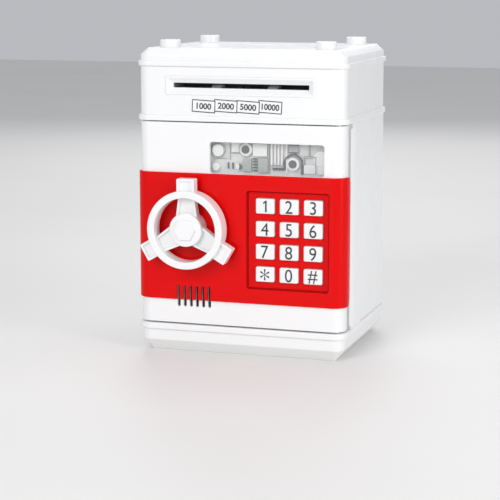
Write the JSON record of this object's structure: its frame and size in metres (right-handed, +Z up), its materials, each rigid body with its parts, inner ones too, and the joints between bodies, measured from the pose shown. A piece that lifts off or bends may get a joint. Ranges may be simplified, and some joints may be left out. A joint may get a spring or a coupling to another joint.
{
  "type": "toy atm savings bank",
  "caption": "Safe-shaped toy cash machine bank with a hinged front door, press keypad, hand wheel that draws a latch bolt, and a motor-fed note slot above the vault.",
  "frame": {"origin": "centre of the flat underside of the base, on the surface it stands on", "axes": "+X to the right seen from the front, +Y to the back (the door faces -Y), +Z up"},
  "size_m": [0.1308, 0.1199, 0.1885],
  "materials": {
    "white_gloss": "gloss",
    "inner_white": "satin",
    "red_gloss": "gloss",
    "grey_plastic": "satin",
    "relief_grey": "satin",
    "dark_plastic": "matte",
    "clear_window": "gloss",
    "steel": "satin",
    "gear_plastic": "satin",
    "roller_rubber": "matte",
    "mat_rubber": "matte",
    "circuit_board": "satin",
    "cell_can": "gloss",
    "coil_copper": "satin",
    "lead_jacket": "satin"
  },
  "bodies": {
    "root": {"base_plinth": "white_gloss", "bottom_plate": "inner_white", "battery_cells": "cell_can", "battery_contacts": "steel", "battery_cover": "inner_white", "cover_screw": "steel", "plate_screws": "steel", "vault_floor": "inner_white", "body_shell": "white_gloss", "door_frame": "inner_white", "body_screws": "steel", "hinge_pins": "steel", "head_housing": "white_gloss", "slot_bezel": "white_gloss", "note_guide": "grey_plastic", "note_sensor": "dark_plastic", "feed_brackets": "grey_plastic", "bracket_screws": "steel", "feed_motor": "steel", "coin_chute": "inner_white", "top_lid": "white_gloss", "control_board": "circuit_board", "battery_lead": "lead_jacket"},
    "feed_drive": {"drive_shaft": "steel", "drive_rollers": "roller_rubber", "drive_gear": "gear_plastic"},
    "feed_pinch": {"pinch_shaft": "steel", "pinch_rollers": "roller_rubber"},
    "feed_reduction": {"reduction_gear": "gear_plastic"},
    "feed_pinion": {"motor_pinion": "gear_plastic"},
    "door": {"door_shell": "white_gloss", "door_back": "inner_white", "red_panel": "red_gloss", "window_lens": "clear_window", "mechanism_relief": "relief_grey", "key_mat": "mat_rubber", "key_board": "circuit_board", "speaker_frame": "dark_plastic", "speaker_cone": "dark_plastic", "lock_coil": "coil_copper", "latch_guide": "grey_plastic", "door_screws": "steel"},
    "wheel": {"hand_wheel": "white_gloss", "spindle": "steel", "latch_crank": "grey_plastic", "spindle_screw": "steel"},
    "bolt": {"latch_bolt": "steel"},
    "plunger": {"lock_plunger": "steel"},
    "key_1": {"key_1": "white_gloss"},
    "key_2": {"key_2": "white_gloss"},
    "key_3": {"key_3": "white_gloss"},
    "key_4": {"key_4": "white_gloss"},
    "key_5": {"key_5": "white_gloss"},
    "key_6": {"key_6": "white_gloss"},
    "key_7": {"key_7": "white_gloss"},
    "key_8": {"key_8": "white_gloss"},
    "key_9": {"key_9": "white_gloss"},
    "key_star": {"key_star": "white_gloss"},
    "key_0": {"key_0": "white_gloss"},
    "key_hash": {"key_hash": "white_gloss"}
  },
  "joints": [
    {"name": "door_hinge", "type": "hinge", "parent": "root", "child": "door", "pos_m": [0.059, -0.047, 0.0793], "axis": [0, 0, 1], "range_deg": [0, 110]},
    {"name": "wheel_turn", "type": "hinge", "parent": "door", "child": "wheel", "pos_m": [-0.0299, -0.05, 0.0774], "axis": [0, -1, 0], "range_deg": [0, 75]},
    {"name": "bolt_slide", "type": "slide", "parent": "door", "child": "bolt", "axis": [-1, 0, 0], "range_m": [0, 0.00792]},
    {"name": "plunger_slide", "type": "slide", "parent": "door", "child": "plunger", "axis": [0, 0, -1], "range_m": [0, 0.003]},
    {"name": "feed_spin", "type": "hinge", "parent": "root", "child": "feed_drive", "pos_m": [0, -0.038, 0.1562], "axis": [1, 0, 0], "continuous": true},
    {"name": "pinch_spin", "type": "hinge", "parent": "root", "child": "feed_pinch", "pos_m": [0, -0.038, 0.1667], "axis": [1, 0, 0], "continuous": true},
    {"name": "reduction_spin", "type": "hinge", "parent": "root", "child": "feed_reduction", "pos_m": [0.05, -0.02486, 0.15972], "axis": [1, 0, 0], "continuous": true},
    {"name": "pinion_spin", "type": "hinge", "parent": "root", "child": "feed_pinion", "pos_m": [0.05, -0.00886, 0.15972], "axis": [1, 0, 0], "continuous": true},
    {"name": "key_1_press", "type": "slide", "parent": "door", "child": "key_1", "axis": [0, 1, 0], "range_m": [0, 0.0012], "stiffness_N_per_m": 200},
    {"name": "key_2_press", "type": "slide", "parent": "door", "child": "key_2", "axis": [0, 1, 0], "range_m": [0, 0.0012], "stiffness_N_per_m": 200},
    {"name": "key_3_press", "type": "slide", "parent": "door", "child": "key_3", "axis": [0, 1, 0], "range_m": [0, 0.0012], "stiffness_N_per_m": 200},
    {"name": "key_4_press", "type": "slide", "parent": "door", "child": "key_4", "axis": [0, 1, 0], "range_m": [0, 0.0012], "stiffness_N_per_m": 200},
    {"name": "key_5_press", "type": "slide", "parent": "door", "child": "key_5", "axis": [0, 1, 0], "range_m": [0, 0.0012], "stiffness_N_per_m": 200},
    {"name": "key_6_press", "type": "slide", "parent": "door", "child": "key_6", "axis": [0, 1, 0], "range_m": [0, 0.0012], "stiffness_N_per_m": 200},
    {"name": "key_7_press", "type": "slide", "parent": "door", "child": "key_7", "axis": [0, 1, 0], "range_m": [0, 0.0012], "stiffness_N_per_m": 200},
    {"name": "key_8_press", "type": "slide", "parent": "door", "child": "key_8", "axis": [0, 1, 0], "range_m": [0, 0.0012], "stiffness_N_per_m": 200},
    {"name": "key_9_press", "type": "slide", "parent": "door", "child": "key_9", "axis": [0, 1, 0], "range_m": [0, 0.0012], "stiffness_N_per_m": 200},
    {"name": "key_star_press", "type": "slide", "parent": "door", "child": "key_star", "axis": [0, 1, 0], "range_m": [0, 0.0012], "stiffness_N_per_m": 200},
    {"name": "key_0_press", "type": "slide", "parent": "door", "child": "key_0", "axis": [0, 1, 0], "range_m": [0, 0.0012], "stiffness_N_per_m": 200},
    {"name": "key_hash_press", "type": "slide", "parent": "door", "child": "key_hash", "axis": [0, 1, 0], "range_m": [0, 0.0012], "stiffness_N_per_m": 200}
  ],
  "couplings": [
    {"joint": "bolt_slide", "follows": "wheel_turn", "m_per_rad": 0.006045},
    {"joint": "pinch_spin", "follows": "feed_spin", "ratio": -1.4286},
    {"joint": "reduction_spin", "follows": "feed_spin", "ratio": -2.4},
    {"joint": "pinion_spin", "follows": "feed_spin", "ratio": 7.2}
  ]
}
